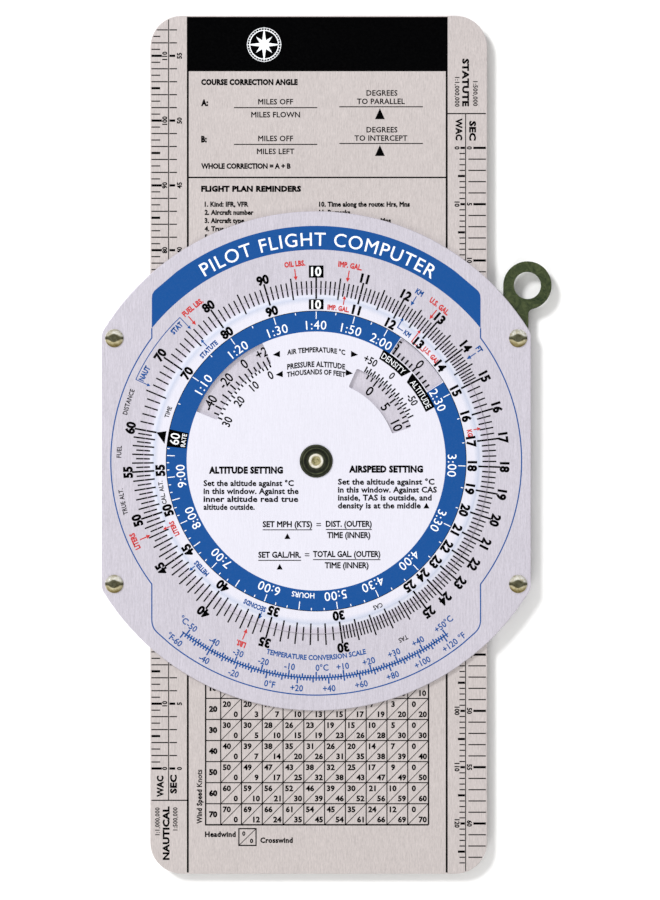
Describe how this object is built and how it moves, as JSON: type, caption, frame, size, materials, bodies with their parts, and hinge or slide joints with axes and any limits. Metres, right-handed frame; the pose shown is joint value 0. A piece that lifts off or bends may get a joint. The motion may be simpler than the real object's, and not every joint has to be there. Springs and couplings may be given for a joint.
{
  "type": "slide-rule flight computer",
  "caption": "Flat metal circular slide rule with a rotating computer disc, a long sliding card between two riveted plates, a rotating wind-side azimuth disc and a lanyard ring.",
  "frame": {"origin": "middle of the outline seen from above, on the surface that the back rivet heads rest on", "axes": "+Y along the slide towards its upper end, +X to the reader's right, +Z out of the calculator side"},
  "size_m": [0.1286, 0.2452, 0.0073],
  "materials": {
    "plate_aluminium": "brushed, brush lines along the slide",
    "slide_aluminium": "brushed, brush lines along the slide",
    "disc_aluminium": "fine satin",
    "green_plastic": "moulded, dark green, mottled",
    "black_green_plastic": "moulded, satin",
    "dark_fibre": "pressed fibre",
    "spring_steel": "cold rolled",
    "nickel_brass": "polished, nickel washed",
    "frosted_clear": "fine frosted on its outer face",
    "ink_black": "printed ink",
    "ink_blue": "printed ink",
    "ink_red": "printed ink",
    "ink_white": "printed ink",
    "ink_grey": "printed ink"
  },
  "bodies": {
    "body": {"front_plate": "plate_aluminium", "back_plate": "plate_aluminium", "azimuth_retainer": "plate_aluminium", "left_spacer": "green_plastic", "lanyard_spacer": "green_plastic", "slide_spring": "spring_steel", "friction_washer": "dark_fibre", "pivot_washer": "black_green_plastic", "backing_washer": "spring_steel", "pivot_eyelet": "nickel_brass", "azimuth_friction_ring": "spring_steel", "rivet_upper_left": "nickel_brass", "rivet_upper_right": "nickel_brass", "rivet_lower_left": "nickel_brass", "rivet_lower_right": "nickel_brass"},
    "slide": {"slide": "slide_aluminium"},
    "computer_disc": {"computer_disc": "disc_aluminium"},
    "azimuth_disc": {"azimuth_ring": "disc_aluminium", "azimuth_window": "frosted_clear", "centre_grommet": "nickel_brass"}
  },
  "joints": [
    {"name": "slide_travel", "type": "slide", "parent": "body", "child": "slide", "axis": [0, 1, 0], "range_m": [-0.11, 0.1]},
    {"name": "computer_disc_turn", "type": "hinge", "parent": "body", "child": "computer_disc", "pos_m": [-0.00302, -0.00465, 0.0058], "axis": [0, 0, 1], "continuous": true},
    {"name": "azimuth_turn", "type": "hinge", "parent": "body", "child": "azimuth_disc", "pos_m": [-0.00302, -0.00465, 0.0015], "axis": [0, 0, 1], "continuous": true}
  ]
}
